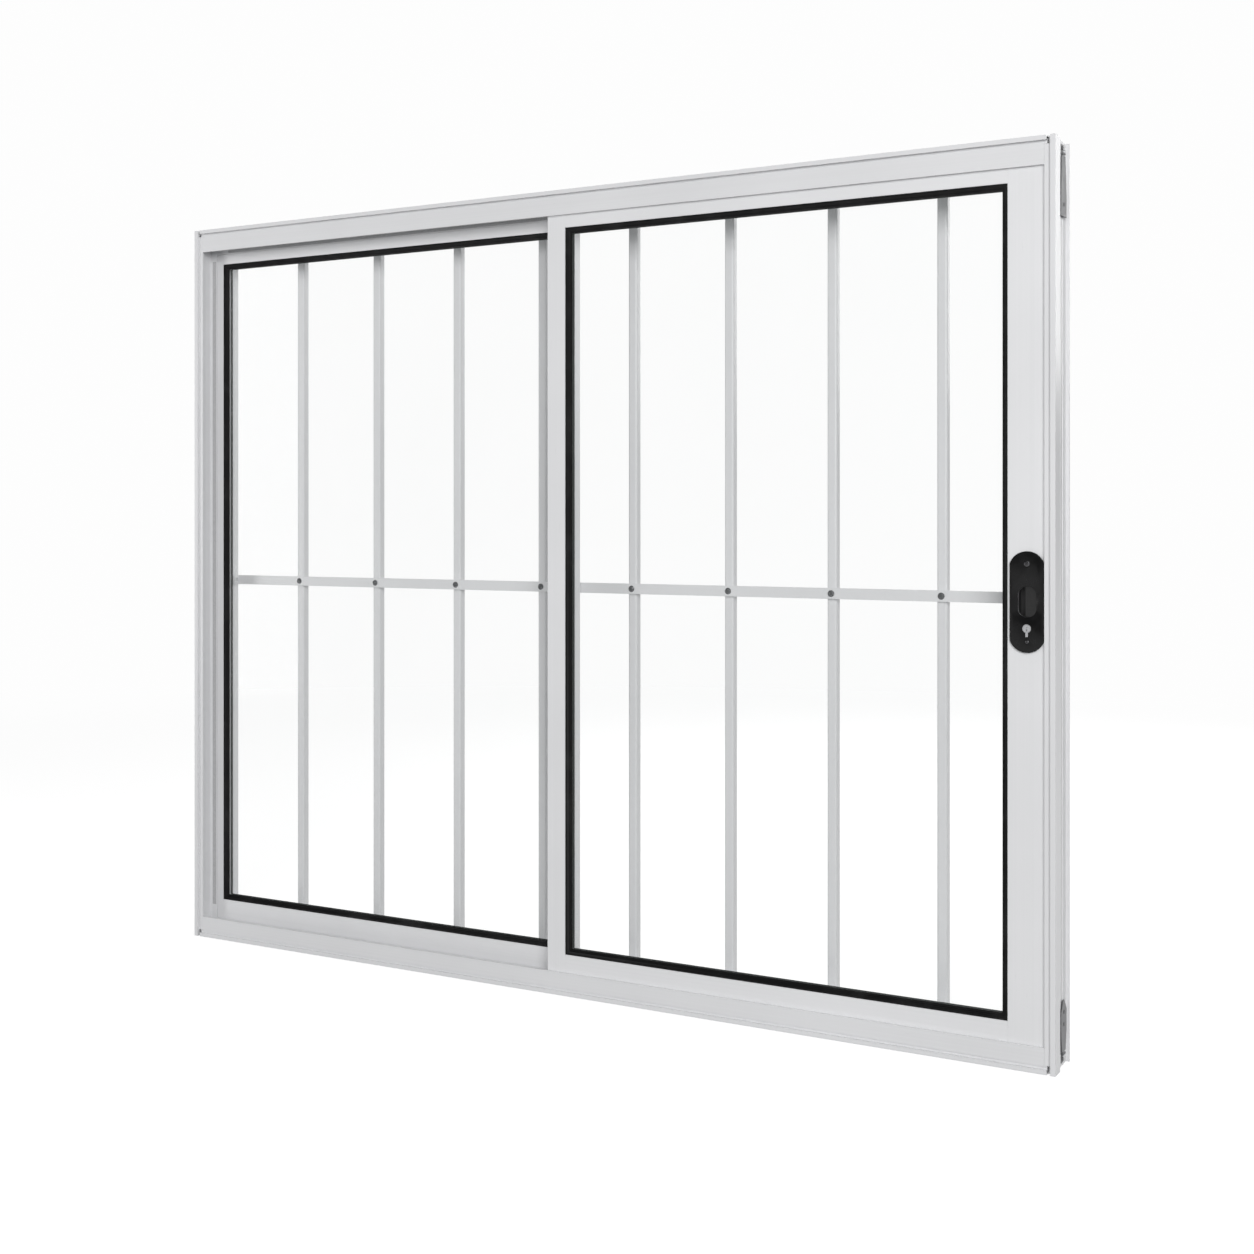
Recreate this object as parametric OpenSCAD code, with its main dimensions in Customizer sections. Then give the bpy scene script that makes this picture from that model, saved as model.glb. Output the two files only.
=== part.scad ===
// Sliding window with a riveted security grille: two leaves, lock, wall anchors.
// X runs along the width, Y from the front to the back, Z up. Sizes are in mm.

/* [Overall] */
// Width of the outer frame
window_w = 1200; // [1000:10:1500]
// Height of the outer frame
window_h = 1000; // [800:10:1250]
/* [Frame] */
// Thickness of every aluminium wall of the outer frame
wall = 1.5; // [1.2:0.1:1.8]
// Width of the foremost strip of the frame, seen from the front
front_strip_w = 5.7; // [5:0.1:6.5]
// How far a jamb's lip reaches inwards from its outer edge
jamb_lip_reach = 12.5; // [11.8:0.1:12.7]
// How far the head's lip reaches down from the top
head_lip_reach = 30.7; // [24:0.1:36]
// How far the sill's lip reaches up from the bottom
sill_lip_reach = 27.5; // [22:0.1:34]
// How far a jamb's rear box reaches inwards from its outer edge
jamb_box_reach = 28; // [24:0.5:34]
// How far the head's rear box reaches down
head_box_reach = 38; // [34:0.5:44]
// How far the sill's rear box reaches up
sill_box_reach = 43; // [40:0.5:54]
/* [Leaves] */
// Thickness of a leaf, front to back
leaf_t = 17; // [16:0.1:17]
// Face width of both meeting stiles
meeting_stile_w = 25; // [22:0.5:32]
// Face width of the stile that carries the lock
lock_stile_w = 41.8; // [41.6:0.2:48]
// Face width of the left leaf's outer stile
side_stile_w = 19.5; // [18:0.5:30]
// Height of the glass opening's lower edge above the frame's bottom
opening_bottom = 49.7; // [48.6:0.1:60]
// Distance of the glass opening's upper edge from the frame's top
opening_top_drop = 46.5; // [42:0.1:56]
// Thickness of the glass
glass_t = 5; // [3:0.5:6]
// Width of the rubber seen around the glass
gasket_w = 6.5; // [4:0.25:9]
/* [Grille] */
// Side of the square tube of the vertical bars
bar_side = 12; // [10:0.5:16]
// Wall thickness of the vertical bars
bar_wall = 1.2; // [1:0.1:2]
// Radius of the corners of the vertical bars
bar_corner_r = 2.5; // [2.1:0.1:3.5]
// Distance from a jamb's inner face to the middle of the nearest bar
bar_edge_gap = 113.5; // [70:0.5:140]
// Height of the flat cross bar
cross_bar_h = 12.8; // [11:0.2:18]
// Thickness of the flat cross bar
cross_bar_t = 3; // [2:0.25:4]
// Height of the middle of the cross bar above the frame's bottom
cross_bar_z = 504; // [300:1:700]
/* [Lock] */
// Height of the middle of the lock above the frame's bottom
lock_z = 502.3; // [300:0.1:700]
// Height of the lock's face plate
lock_plate_h = 109; // [106:0.5:125]
// Width of the lock's face plate
lock_plate_w = 36.5; // [34:0.5:37]
// Width of the finger pocket
pocket_w = 19.4; // [16:0.2:19.6]
// Height of the finger pocket
pocket_h = 33.4; // [28:0.2:36]
/* [Wall anchors] */
// Length of an upper wall anchor strap beyond its pin
upper_strap_len = 68; // [50:1:110]
// Length of a lower wall anchor strap beyond its pin
lower_strap_len = 58; // [50:1:110]
// Width of a strap near its pin
strap_root_w = 15; // [10:0.5:18]
// Width of a strap at its free end
strap_end_w = 23; // [18:0.5:28]

/* [Hidden] */
$fn = 48;

// Clearances
run_fit = 0.05;
press_gap = 0.02;
slip_gap = 0.1;
travel_gap = 0.3;
cut_over = 1;

// Frame section, front to back
frame_d = 62;
lip_front = 3;
lip_back = 6.2;
band_d = 20;
rib_front = 24.4;
rib_back = 26;
box_front = 46.5;
half_w = window_w / 2;
channel_u = 9;
outer_recess = 4;
jamb_rib_reach = 20;
head_rib_reach = 32.5;
sill_rib_reach = 23;
track_floor = 10;
track_rib_w = 2;
track_top = 18;
groove_top = 5;
groove_bottom = 8;
grip_rib_h = 0.8;
grip_rib_w = 1.2;
grip_ribs = [34.4, 45.4];
strip_end_u = 9.5;
notch_h = 9;

// Screws through the corners
port_r = 3;
screw_r = 1.6;
screw_head_r = 2.2;
screw_head_t = 1.4;
port_v = [22.4, 52.5];
port_reach = 10;

// Leaves
leaf_wall = 1.5;
right_v = 6.5;
left_v = 27;
leaf_edge_u = 10.5;
leaf_bottom = 19;
leaf_top = window_h - leaf_bottom;
pocket_d = 8;
glass_bite = 6;
open_z = [opening_bottom, window_h - opening_top_drop];
meeting_shift = 0.5;
right_open = [0, half_w - leaf_edge_u - lock_stile_w];
left_open = [side_stile_w + leaf_edge_u - half_w, meeting_shift - meeting_stile_w];
rail_port_t = 12.5;
rail_port_r = 3.2;
leaf_screw_head_r = 3;
leaf_screw_head_t = 1.8;
leaf_screw_len = 28;
access_r = 3.6;
hook_rows = [32, window_h - 38];

// Rollers
wheel_inset = 90;
wheel_r = 7;
groove_r = 5.5;
wheel_w = 5;
wheel_groove_w = 2.8;
track_gap = 0.2;
wheel_z = track_top + track_gap + groove_r;
axle_r = 1.5;
axle_len = 11;
carriage_len = 44;
carriage_top = 32.6;
carriage_bottom = 19.6;
carriage_slot_w = 5.8;
wheel_end_gap = 2;
wheel_top_gap = 0.8;

// Grille
bar_count = 8;
jamb_inner = half_w - jamb_box_reach;
bar_pitch = (2 * jamb_inner - 2 * bar_edge_gap) / (bar_count - 1);
bar_from = 8;
bar_to = window_h - 8;
cap_t = 2;
bar_v = frame_d;
tab_len = 9.5;
tab_rivet_v = 54.6;
bar_screw_drop = 24;
bar_screw_head_t = 1.6;
overall_d = bar_v + bar_side + bar_screw_head_t;
end_screw_z = [30, window_h - bar_screw_drop];

// Lock, with heights counted from lock_z
plate_inset = 31.25;
plate_x = half_w - plate_inset;
plate_end_r = 19.2;
plate_front = 4;
pivot_inset = 18.5;
pivot_rise = 3;
pivot = [half_w - pivot_inset, lock_z + pivot_rise];
pivot_pin_r = 2;
hook_v = [13.5, 16.5];
hook_reach = 15.5;
hook_nose = 6;
hook_nose_x = 11.3;
hook_arm_half = 2;
hook_hub_r = 4;
hook_side_gap = 0.4;
hook_slot_below = 17;
hook_slot_above = 2.6;
hook_slot_z = [pivot[1] - hook_slot_below, pivot[1] + hook_slot_above];
hook_slot_v = [hook_v[0] - hook_side_gap, hook_v[1] + hook_side_gap];
cylinder_drop = 28.5;
cylinder_z = lock_z - cylinder_drop;
cylinder_r = 3.9;
upper_screw_rise = 41;
lower_screw_drop = 42.7;
upper_screw_z = lock_z + upper_screw_rise;
lower_screw_z = lock_z - lower_screw_drop;
plate_screw_r = 1.4;
screw_end_v = 17;
case_half = 11.15;
case_inset = 12.4;
case_front = 8.1;
case_below = 48;
case_above = 47;
case_x = [plate_x - case_half, half_w - case_inset];
case_v = [case_front, right_v + leaf_t - leaf_wall - travel_gap];
case_z = [lock_z - case_below, lock_z + case_above];
slider_left = 2.75;
slider_right = 8.75;
slider_below = 18.5;
slider_above = 17.5;
slider_x = [plate_x - slider_left, plate_x + slider_right];
slider_v = [9.6, 12.4];
slider_z = [lock_z - slider_below, lock_z + slider_above];

// Wall anchors
pin_u = 1.7;
pin_end = 14;
pin_r = 0.7;
knuckle_r = 1.45;
anchor_v = 40.6;
strap_t = 1.2;
strap_corner_half = 2;
strap_hole_r = 2.4;
strap_hole_drop = 13;

module in_place() {
  translate([0, -overall_d / 2, 0]) children();
}

module on_right() {
  mirror([1, 0, 0]) children();
}

module both_sides() {
  children();
  on_right() children();
}

module patch(a, b) {
  translate([a[0], b[0]]) square([a[1] - a[0], b[1] - b[0]]);
}

module slab(x, v, z) {
  translate([x[0], v[0], z[0]]) cube([x[1] - x[0], v[1] - v[0], z[1] - z[0]]);
}

// A round bar along Y from v[0] to v[1] with its middle at x, z
module pin_v(x, z, v, r) {
  translate([x, v[0], z]) rotate([-90, 0, 0]) cylinder(h = v[1] - v[0], r = r);
}

// A round bar along X from x[0] to x[1] with its middle at v, z
module pin_x(x, v, z, r) {
  translate([x[0], v, z]) rotate([0, 90, 0]) cylinder(h = x[1] - x[0], r = r);
}

// Extrudes a section drawn in (front to back, height) along X
module along_x(x) {
  translate([x[0], 0, 0]) rotate([90, 0, 90]) linear_extrude(x[1] - x[0]) children();
}

module along_z(z) {
  translate([0, 0, z[0]]) linear_extrude(z[1] - z[0]) children();
}

// ---- Outer frame -------------------------------------------------------

// Section of a jamb in (distance from the outer edge, front to back)
module jamb_section() {
  patch([0, wall], [0, band_d]);
  patch([0, front_strip_w], [0, wall]);
  patch([front_strip_w - wall, front_strip_w], [0, lip_front + wall]);
  patch([front_strip_w - wall, jamb_lip_reach], [lip_front, lip_front + wall]);
  patch([jamb_lip_reach - wall, jamb_lip_reach], [lip_front, lip_back]);
  patch([channel_u - wall, channel_u], [lip_front, box_front + wall]);
  patch([0, channel_u], [band_d - wall, band_d]);
  patch([outer_recess, outer_recess + wall], [band_d - wall, frame_d]);
  patch([channel_u - wall, jamb_rib_reach], [rib_front, rib_back]);
  patch([outer_recess, jamb_box_reach], [box_front, box_front + wall]);
  patch([jamb_box_reach - wall, jamb_box_reach], [box_front, frame_d]);
  patch([0, jamb_box_reach], [frame_d - wall, frame_d]);
  for (v = grip_ribs)
    patch([outer_recess - grip_rib_h, outer_recess + wall], [v, v + grip_rib_w]);
}

// The left jamb with its end notches and the holes that both jambs share
module jamb_blank() {
  difference() {
    translate([-half_w, 0, 0]) along_z([0, window_h]) jamb_section();
    for (z = [[-cut_over, notch_h], [window_h - notch_h, window_h + cut_over]])
      slab([front_strip_w - half_w, channel_u - wall - half_w], [-cut_over, lip_back + cut_over], z);
    for (z = [[-cut_over, notch_h], [window_h - notch_h, window_h + cut_over]])
      slab([channel_u - wall - half_w - cut_over, jamb_lip_reach + cut_over - half_w],
        [-cut_over, lip_back + cut_over], z);
    for (z = [port_reach, window_h - port_reach], v = port_v)
      pin_x([-half_w - cut_over, jamb_box_reach + cut_over - half_w], v, z, screw_r + press_gap);
    pin_x([-half_w - cut_over, jamb_box_reach + cut_over - half_w], tab_rivet_v, cross_bar_z,
      tab_rivet_r + press_gap);
    for (z = [foot_rivet_z, window_h - foot_rivet_z])
      pin_x([-half_w, outer_recess + wall + cut_over - half_w], anchor_v, z, foot_rivet_r + press_gap);
  }
}

module left_jamb() {
  color([0.85, 0.86, 0.87]) in_place() jamb_blank();
}

module right_jamb() {
  color([0.87, 0.88, 0.89]) in_place() difference() {
    on_right() jamb_blank();
    slab([half_w - channel_u - cut_over, half_w - channel_u + wall + slip_gap], hook_slot_v, hook_slot_z);
    for (z = keeper_screw_z)
      pin_x([half_w - channel_u - cut_over, half_w - wall - cut_over], keeper_v, z,
        keeper_screw_r + press_gap);
  }
}

// Section shared by the head and the sill in (front to back, distance from the outer edge)
module track_section(lip_reach, rib_reach, box_reach) {
  difference() {
    union() {
      patch([0, band_d], [0, wall]);
      patch([0, wall], [0, groove_top]);
      patch([0, lip_front + wall + cut_over], [groove_top - wall, groove_top]);
      patch([lip_front + cut_over, lip_front + wall + cut_over], [groove_top - wall, groove_bottom + wall]);
      patch([lip_front, lip_front + wall], [groove_bottom, lip_reach]);
      patch([lip_front, lip_back], [lip_reach - wall, lip_reach]);
      patch([lip_front, box_front + wall], [track_floor - wall, track_floor]);
      patch([band_d - wall, band_d], [0, track_floor]);
      patch([band_d - wall, frame_d], [outer_recess, outer_recess + wall]);
      patch([frame_d - wall, frame_d], [0, box_reach]);
      patch([box_front, box_front + wall], [outer_recess, box_reach]);
      patch([box_front, frame_d], [box_reach - wall, box_reach]);
      patch([rib_front, rib_back], [track_floor - wall, rib_reach]);
      for (v = port_v) translate([v, port_reach]) circle(r = port_r);
      patch([box_front, port_v[1]], [track_floor - wall, track_floor]);
    }
    for (v = port_v) translate([v, port_reach]) circle(r = screw_r + press_gap);
  }
}

// Everything of a jamb that the ends of the head and the sill are cut away from
module end_copes() {
  both_sides() {
    slab([-half_w, strip_end_u - half_w], [-cut_over, lip_back + slip_gap], [-cut_over, window_h + cut_over]);
    slab([-half_w, jamb_lip_reach + slip_gap - half_w], [-cut_over, lip_back + slip_gap],
      [notch_h - slip_gap, window_h - notch_h + slip_gap]);
    slab([-half_w, jamb_rib_reach + slip_gap - half_w], [rib_front - slip_gap, rib_back + slip_gap],
      [-cut_over, window_h + cut_over]);
    slab([-half_w, jamb_box_reach - half_w], [box_front - slip_gap, frame_d + cut_over],
      [-cut_over, window_h + cut_over]);
  }
}

module head_rail() {
  color([0.86, 0.87, 0.88]) in_place() difference() {
    translate([0, 0, window_h]) mirror([0, 0, 1]) along_x([channel_u - half_w, half_w - channel_u])
      track_section(head_lip_reach, head_rib_reach, head_box_reach);
    end_copes();
    bar_screw_holes();
  }
}

module sill_rail() {
  color([0.86, 0.87, 0.88]) in_place() difference() {
    along_x([channel_u - half_w, half_w - channel_u]) {
      track_section(sill_lip_reach, sill_rib_reach, sill_box_reach);
      for (v = [right_v, left_v])
        patch([v + leaf_t / 2 - track_rib_w / 2, v + leaf_t / 2 + track_rib_w / 2],
          [track_floor - wall, track_top]);
    }
    end_copes();
    bar_screw_holes();
  }
}

front_screw_len = 26;
rear_screw_len = 46;

module corner_screws() {
  color([0.6, 0.61, 0.63]) in_place() both_sides()
    for (z = [port_reach, window_h - port_reach]) {
      pin_x([outer_recess - half_w, outer_recess + front_screw_len - half_w], port_v[0], z, screw_r);
      pin_x([outer_recess - screw_head_t - half_w, outer_recess - half_w], port_v[0], z, screw_head_r);
      pin_x([outer_recess - half_w, outer_recess + rear_screw_len - half_w], port_v[1], z, screw_r);
      pin_x([outer_recess - screw_head_t - half_w, outer_recess - half_w], port_v[1], z, screw_head_r);
    }
}

brush_t = 0.55;
brush_w = 6;
brush_end = 42;
brush_margin = 1;

module brush_strips() {
  color([0.72, 0.73, 0.74]) in_place() {
    both_sides()
      for (v = [rib_front - brush_t, rib_back])
        slab([jamb_rib_reach - brush_margin - brush_w - half_w, jamb_rib_reach - brush_margin - half_w],
          [v, v + brush_t], [brush_end, window_h - brush_end]);
    for (v = [rib_front - brush_t, rib_back])
      slab([brush_end - half_w, half_w - brush_end], [v, v + brush_t],
        [window_h - head_rib_reach + brush_margin, window_h - head_rib_reach + brush_margin + brush_w]);
  }
}

keeper_t = 1.2;
keeper_v = 15;
keeper_w = 12;
keeper_over = 14;
keeper_z = [hook_slot_z[0] - keeper_over, hook_slot_z[1] + keeper_over];
keeper_screw_z = [keeper_z[0] + keeper_over / 2, keeper_z[1] - keeper_over / 2];
keeper_screw_tail = 2;
keeper_screw_r = 1.5;
keeper_head_r = 2.6;
keeper_head_t = 0.9;
keeper_face = half_w - channel_u - keeper_t;

module keeper_plate() {
  color([0.66, 0.67, 0.69]) in_place() difference() {
    slab([keeper_face, keeper_face + keeper_t], [keeper_v - keeper_w / 2, keeper_v + keeper_w / 2], keeper_z);
    slab([keeper_face - cut_over, keeper_face + keeper_t + cut_over], hook_slot_v, hook_slot_z);
    for (z = keeper_screw_z) {
      pin_x([keeper_face - cut_over, keeper_face + keeper_t + cut_over], keeper_v, z,
        keeper_screw_r + press_gap);
      pin_x([keeper_face - cut_over, keeper_face + keeper_head_t], keeper_v, z, keeper_head_r + slip_gap);
    }
  }
}

module keeper_screws() {
  color([0.6, 0.61, 0.63]) in_place()
    for (z = keeper_screw_z) {
      pin_x([keeper_face, keeper_face + keeper_head_t], keeper_v, z, keeper_head_r);
      pin_x([keeper_face, keeper_face + keeper_t + wall + keeper_screw_tail], keeper_v, z, keeper_screw_r);
    }
}

// ---- Security grille ---------------------------------------------------

rivet_r = 1.6;
rivet_head_r = 4;
rivet_head_t = 1.8;
rivet_tail_r = 2.4;
tab_rivet_r = 1.6;
tab_head_r = 3;
tab_head_t = 1.4;
bar_screw_r = 1.5;
bar_screw_head_r = 3;

function bar_x(i) = -bar_pitch * (bar_count - 1) / 2 + bar_pitch * (i - 1);

module rounded_square(side, r) {
  square([side - 2 * r, side], center = true);
  square([side, side - 2 * r], center = true);
  for (x = [-1, 1], y = [-1, 1])
    translate([x * (side / 2 - r), y * (side / 2 - r)]) circle(r = r);
}

module bar_screw_holes() {
  for (i = [1 : bar_count], z = end_screw_z)
    pin_v(bar_x(i), z, [frame_d - wall - cut_over, frame_d + cut_over], bar_screw_r + press_gap);
}

module grille_bar(i) {
  color([0.8, 0.81, 0.82]) in_place() difference() {
    translate([bar_x(i), bar_v + bar_side / 2, 0]) along_z([bar_from, bar_to]) difference() {
      rounded_square(bar_side, bar_corner_r);
      rounded_square(bar_side - 2 * bar_wall, bar_corner_r - bar_wall);
    }
    pin_v(bar_x(i), cross_bar_z, [bar_v - cut_over, bar_v + bar_wall + cut_over], rivet_r + press_gap);
    for (z = end_screw_z)
      pin_v(bar_x(i), z, [bar_v - cut_over, bar_v + bar_side + cut_over], bar_screw_r + press_gap);
  }
}

module grille_bar_1() { grille_bar(1); }
module grille_bar_2() { grille_bar(2); }
module grille_bar_3() { grille_bar(3); }
module grille_bar_4() { grille_bar(4); }
module grille_bar_5() { grille_bar(5); }
module grille_bar_6() { grille_bar(6); }
module grille_bar_7() { grille_bar(7); }
module grille_bar_8() { grille_bar(8); }

cross_front = frame_d - cross_bar_t;
cross_z = [cross_bar_z - cross_bar_h / 2, cross_bar_z + cross_bar_h / 2];

module cross_bar() {
  color([0.84, 0.85, 0.86]) in_place() difference() {
    union() {
      slab([-jamb_inner, jamb_inner], [cross_front, frame_d], cross_z);
      both_sides() slab([-jamb_inner, cross_bar_t - jamb_inner], [cross_front - tab_len, frame_d], cross_z);
    }
    for (i = [1 : bar_count])
      pin_v(bar_x(i), cross_bar_z, [cross_front - cut_over, frame_d + cut_over], rivet_r + press_gap);
    both_sides()
      pin_x([-jamb_inner - cut_over, cross_bar_t + cut_over - jamb_inner], tab_rivet_v, cross_bar_z,
        tab_rivet_r + press_gap);
  }
}

module cross_bar_rivets() {
  color([0.24, 0.24, 0.26]) in_place()
    for (i = [1 : bar_count]) {
      pin_v(bar_x(i), cross_bar_z, [cross_front - rivet_head_t, cross_front], rivet_head_r);
      pin_v(bar_x(i), cross_bar_z, [cross_front - rivet_head_t, bar_v + bar_wall + rivet_head_t], rivet_r);
      pin_v(bar_x(i), cross_bar_z, [bar_v + bar_wall, bar_v + bar_wall + rivet_head_t], rivet_tail_r);
    }
}

module tab_rivets() {
  color([0.24, 0.24, 0.26]) in_place() both_sides() {
    pin_x([cross_bar_t - jamb_inner, cross_bar_t + tab_head_t - jamb_inner], tab_rivet_v, cross_bar_z,
      tab_head_r);
    pin_x([-jamb_inner - wall - tab_head_t, cross_bar_t + tab_head_t - jamb_inner], tab_rivet_v, cross_bar_z,
      tab_rivet_r);
    pin_x([-jamb_inner - wall - tab_head_t, -jamb_inner - wall], tab_rivet_v, cross_bar_z, rivet_tail_r);
  }
}

module bar_end_screws() {
  color([0.6, 0.61, 0.63]) in_place()
    for (i = [1 : bar_count], z = end_screw_z) {
      pin_v(bar_x(i), z, [bar_v + bar_side, overall_d], bar_screw_head_r);
      pin_v(bar_x(i), z, [frame_d - wall - rivet_head_t, overall_d], bar_screw_r);
    }
}

module bar_end_caps() {
  color([0.16, 0.16, 0.17]) in_place()
    for (i = [1 : bar_count], z = [bar_from - cap_t, bar_to])
      translate([bar_x(i), bar_v + bar_side / 2, z]) linear_extrude(cap_t)
        rounded_square(bar_side, bar_corner_r);
}

// ---- Leaves ------------------------------------------------------------

// Section of a stile or rail in (distance from the opening, front to back)
module leaf_section(w) {
  patch([0, w], [0, leaf_wall]);
  patch([0, w], [leaf_t - leaf_wall, leaf_t]);
  patch([pocket_d, pocket_d + leaf_wall], [0, leaf_t]);
}

module stile(w) {
  difference() {
    along_z([leaf_bottom, leaf_top]) {
      leaf_section(w);
      patch([w - leaf_wall, w], [0, leaf_t]);
    }
    for (z = [open_z[0] - rail_port_t, open_z[1] + rail_port_t]) {
      pin_x([0, pocket_d + leaf_wall + cut_over], leaf_t / 2, z, screw_r + press_gap);
      pin_x([w - leaf_wall - cut_over, w + cut_over], leaf_t / 2, z, access_r);
    }
  }
}

module left_hand(x, v) {
  translate([x, v, 0]) mirror([1, 0, 0]) children();
}

module right_hand(x, v) {
  translate([x, v, 0]) children();
}

// Section of a rail in (front to back, distance from the opening)
module rail_section(w, closed) {
  difference() {
    union() {
      patch([0, leaf_wall], [0, w]);
      patch([leaf_t - leaf_wall, leaf_t], [0, w]);
      patch([0, leaf_t], [pocket_d, pocket_d + leaf_wall]);
      if (closed) patch([0, leaf_t], [w - leaf_wall, w]);
      translate([leaf_t / 2, rail_port_t]) circle(r = rail_port_r);
    }
    translate([leaf_t / 2, rail_port_t]) circle(r = screw_r + press_gap);
  }
}

// A rail between the stiles, with a tongue at each end that enters the stiles' pockets
module rail(open, w, closed) {
  along_x(open) rail_section(w, closed);
  along_x([open[0] - pocket_d, open[1] + pocket_d]) intersection() {
    rail_section(w, closed);
    patch([leaf_wall + slip_gap, leaf_t - leaf_wall - slip_gap], [0, w]);
  }
}

module top_rail(open, v) {
  translate([0, v, open_z[1]]) rail(open, leaf_top - open_z[1], true);
}

module bottom_rail(open, v) {
  translate([0, v, open_z[0]]) mirror([0, 0, 1]) rail(open, open_z[0] - leaf_bottom, false);
}

module pane(open, v) {
  slab([open[0] - glass_bite, open[1] + glass_bite],
    [v + leaf_t / 2 - glass_t / 2, v + leaf_t / 2 + glass_t / 2],
    [open_z[0] - glass_bite, open_z[1] + glass_bite]);
}

// Four-sided opening that narrows evenly from one depth to another
module narrowing(open, v_wide, v_narrow, inset) {
  intersection() {
    along_z([open_z[0] - pocket_d, open_z[1] + pocket_d])
      polygon([[open[0], v_wide], [open[1], v_wide], [open[1] - inset, v_narrow],
        [open[0] + inset, v_narrow]]);
    along_x([open[0] - pocket_d, open[1] + pocket_d])
      polygon([[v_wide, open_z[0]], [v_wide, open_z[1]], [v_narrow, open_z[1] - inset],
        [v_narrow, open_z[0] + inset]]);
  }
}

gasket_clear = 0.2;
gasket_flat = 0.4;

module gasket(open, v) {
  glass_v = [v + leaf_t / 2 - glass_t / 2 - slip_gap, v + leaf_t / 2 + glass_t / 2 + slip_gap];
  rim = pocket_d - gasket_clear;
  edge = gasket_clear + gasket_flat;
  face_open = [open[0] + edge, open[1] - edge];
  difference() {
    union() {
      slab([open[0] - rim, open[1] + rim],
        [v + leaf_wall + gasket_clear, v + leaf_t - leaf_wall - gasket_clear],
        [open_z[0] - rim, open_z[1] + rim]);
      slab([open[0] + gasket_clear, open[1] - gasket_clear], [v + gasket_clear, v + leaf_t - gasket_clear],
        [open_z[0] + gasket_clear, open_z[1] - gasket_clear]);
    }
    slab([open[0] - glass_bite - slip_gap, open[1] + glass_bite + slip_gap], glass_v,
      [open_z[0] - glass_bite - slip_gap, open_z[1] + glass_bite + slip_gap]);
    narrowing(face_open, v + gasket_clear - slip_gap, glass_v[0] + slip_gap, gasket_w - edge);
    narrowing(face_open, v + leaf_t - gasket_clear + slip_gap, glass_v[1] - slip_gap, gasket_w - edge);
  }
}

module leaf_screws(open, v) {
  for (z = [open_z[0] - rail_port_t, open_z[1] + rail_port_t]) {
    x = [open[1] + pocket_d + leaf_wall, open[0] - pocket_d - leaf_wall];
    pin_x([x[0] - leaf_screw_len, x[0] + leaf_screw_head_t], v + leaf_t / 2, z, screw_r);
    pin_x([x[0], x[0] + leaf_screw_head_t], v + leaf_t / 2, z, leaf_screw_head_r);
    pin_x([x[1] - leaf_screw_head_t, x[1] + leaf_screw_len], v + leaf_t / 2, z, screw_r);
    pin_x([x[1] - leaf_screw_head_t, x[1]], v + leaf_t / 2, z, leaf_screw_head_r);
  }
}

guide_h = 5;
guide_len = 30;
guide_inset = 60;

module top_guides(open, v) {
  for (x = [open[0] + guide_inset, open[1] - guide_inset])
    slab([x - guide_len / 2, x + guide_len / 2], [v + slip_gap, v + leaf_t - slip_gap],
      [leaf_top, leaf_top + guide_h]);
}

function wheel_x(open) = [open[0] + wheel_inset, open[1] - wheel_inset];

module roller_carriages(open, v) {
  mid = v + leaf_t / 2;
  for (x = wheel_x(open))
    difference() {
      slab([x - carriage_len / 2, x + carriage_len / 2], [v + leaf_wall, v + leaf_t - leaf_wall],
        [carriage_bottom, carriage_top]);
      slab([x - wheel_r - wheel_end_gap, x + wheel_r + wheel_end_gap],
        [mid - carriage_slot_w / 2, mid + carriage_slot_w / 2],
        [carriage_bottom - cut_over, wheel_z + wheel_r + wheel_top_gap]);
      pin_v(x, wheel_z, [mid - axle_len / 2 - slip_gap, mid + axle_len / 2 + slip_gap], axle_r + press_gap);
    }
}

module roller_axles(open, v) {
  for (x = wheel_x(open))
    pin_v(x, wheel_z, [v + leaf_t / 2 - axle_len / 2, v + leaf_t / 2 + axle_len / 2], axle_r);
}

module wheel(x, v) {
  translate([x, v + leaf_t / 2, wheel_z]) rotate([90, 0, 0]) difference() {
    union() {
      cylinder(h = wheel_w, r = groove_r, center = true);
      for (side = [-1, 1])
        translate([0, 0, side * (wheel_w + wheel_groove_w) / 4])
          cylinder(h = (wheel_w - wheel_groove_w) / 2, r = wheel_r, center = true);
    }
    cylinder(h = wheel_w + cut_over, r = axle_r + run_fit, center = true);
  }
}

// Hooks of the meeting stiles, which grip each other when the window is shut
hook_wall = 1;
hook_span = 7;
hook_foot_t = 0.9;
hook_clear = 0.5;
hook_inset = 2;
hook_step = 3;
hook_x_right = hook_inset - meeting_stile_w;
hook_x_left = hook_x_right + hook_step;

// Right leaf: it runs in the front track and carries the lock

module right_meeting_stile() {
  color([0.87, 0.88, 0.89]) in_place() {
    left_hand(right_open[0], right_v) stile(meeting_stile_w);
    slab([hook_x_right, hook_x_right + hook_wall], [right_v + leaf_t, left_v - hook_clear], hook_rows);
    slab([hook_x_right, hook_x_right + hook_span], [left_v - hook_clear - hook_foot_t, left_v - hook_clear],
      hook_rows);
  }
}

module right_lock_stile() {
  color([0.88, 0.89, 0.9]) in_place() difference() {
    right_hand(right_open[1], right_v) stile(lock_stile_w);
    translate([plate_x, right_v - cut_over, lock_z]) rotate([90, 0, 0]) mirror([0, 0, 1])
      linear_extrude(leaf_wall + 2 * cut_over) pocket_outline(travel_gap);
    pin_v(plate_x, cylinder_z, [right_v - cut_over, right_v + leaf_wall + cut_over], cylinder_r + travel_gap);
    for (z = [upper_screw_z, lower_screw_z])
      pin_v(plate_x, z, [right_v - cut_over, right_v + leaf_wall + cut_over], plate_screw_r + slip_gap);
    slab([half_w - leaf_edge_u - leaf_wall - cut_over, half_w - leaf_edge_u + cut_over], hook_slot_v,
      hook_slot_z);
  }
}

module right_top_rail() {
  color([0.87, 0.88, 0.89]) in_place() top_rail(right_open, right_v);
}

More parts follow.
